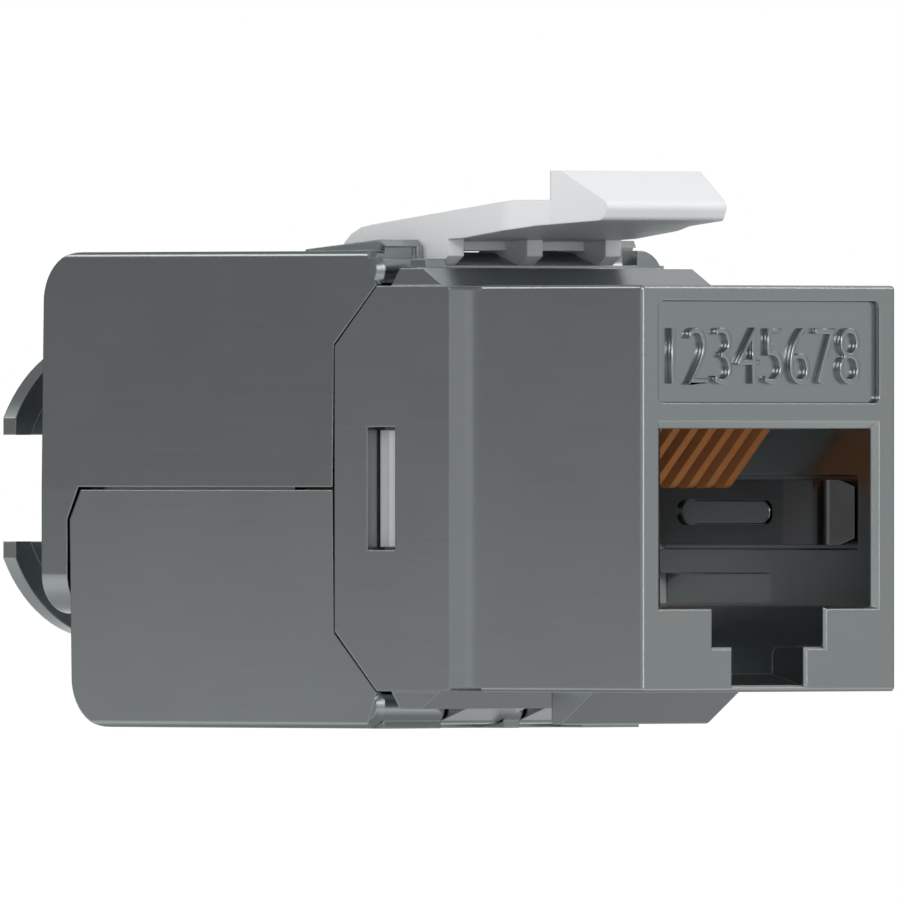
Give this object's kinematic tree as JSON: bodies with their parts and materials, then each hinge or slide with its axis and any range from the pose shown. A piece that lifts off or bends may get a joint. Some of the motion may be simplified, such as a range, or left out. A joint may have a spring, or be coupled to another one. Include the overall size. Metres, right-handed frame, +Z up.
{
  "type": "shielded keystone jack",
  "caption": "Shielded die-cast keystone jack: front plug port, white latch lever on top and two hinged rear covers that close round the cable.",
  "frame": {"origin": "centre of the overall box's bottom face, on the underside of the lower cover", "axes": "+Y from the plug port to the cable collar, +Z up towards the latch lever, X across the jack"},
  "size_m": [0.0156, 0.0382, 0.0223],
  "materials": {
    "die_cast": "satin nickel-plated zinc die casting",
    "cover_cast": "satin nickel-plated zinc die casting",
    "black_plastic": "black moulded plastic",
    "grey_plastic": "light grey moulded plastic",
    "cap_plastic": "pale moulded plastic",
    "white_plastic": "white moulded plastic, soft gloss",
    "board": "green circuit board",
    "contact_bronze": "gold-flashed phosphor bronze",
    "blade_bronze": "tinned phosphor bronze",
    "spring_steel": "bright spring steel",
    "steel_pin": "ground steel"
  },
  "bodies": {
    "housing": {"front_housing": "die_cast", "contact_carrier": "grey_plastic", "circuit_board": "board", "idc_block": "black_plastic", "ground_spring_left": "spring_steel", "ground_spring_right": "spring_steel", "upper_hinge_pin": "steel_pin", "lower_hinge_pin": "steel_pin", "spring_contact_1": "contact_bronze", "spring_contact_2": "contact_bronze", "spring_contact_3": "contact_bronze", "spring_contact_4": "contact_bronze", "spring_contact_5": "contact_bronze", "spring_contact_6": "contact_bronze", "spring_contact_7": "contact_bronze", "spring_contact_8": "contact_bronze", "idc_contact_1": "blade_bronze", "idc_contact_2": "blade_bronze", "idc_contact_3": "blade_bronze", "idc_contact_4": "blade_bronze", "idc_contact_5": "blade_bronze", "idc_contact_6": "blade_bronze", "idc_contact_7": "blade_bronze", "idc_contact_8": "blade_bronze"},
    "upper_flap": {"upper_cover": "cover_cast"},
    "lower_flap": {"lower_cover": "cover_cast"},
    "latch": {"latch_lever": "white_plastic"},
    "wiring_cap": {"wire_manager": "cap_plastic"}
  },
  "joints": [
    {"name": "upper_flap_hinge", "type": "hinge", "parent": "housing", "child": "upper_flap", "pos_m": [0, -0.004, 0.01831], "axis": [1, 0, 0], "range_deg": [0, 85]},
    {"name": "lower_flap_hinge", "type": "hinge", "parent": "housing", "child": "lower_flap", "pos_m": [0, -0.004, 0.00089], "axis": [-1, 0, 0], "range_deg": [0, 85]},
    {"name": "latch_pivot", "type": "hinge", "parent": "housing", "child": "latch", "pos_m": [0, -0.004, 0.01831], "axis": [1, 0, 0], "range_deg": [0, 10], "stiffness_Nm_per_rad": 0.2},
    {"name": "wiring_cap_slide", "type": "slide", "parent": "housing", "child": "wiring_cap", "axis": [0, 1, 0], "range_m": [0, 0.003]}
  ],
  "couplings": [
    {"joint": "lower_flap_hinge", "follows": "upper_flap_hinge", "ratio": 1},
    {"joint": "wiring_cap_slide", "follows": "upper_flap_hinge", "m_per_rad": 0.00202}
  ]
}
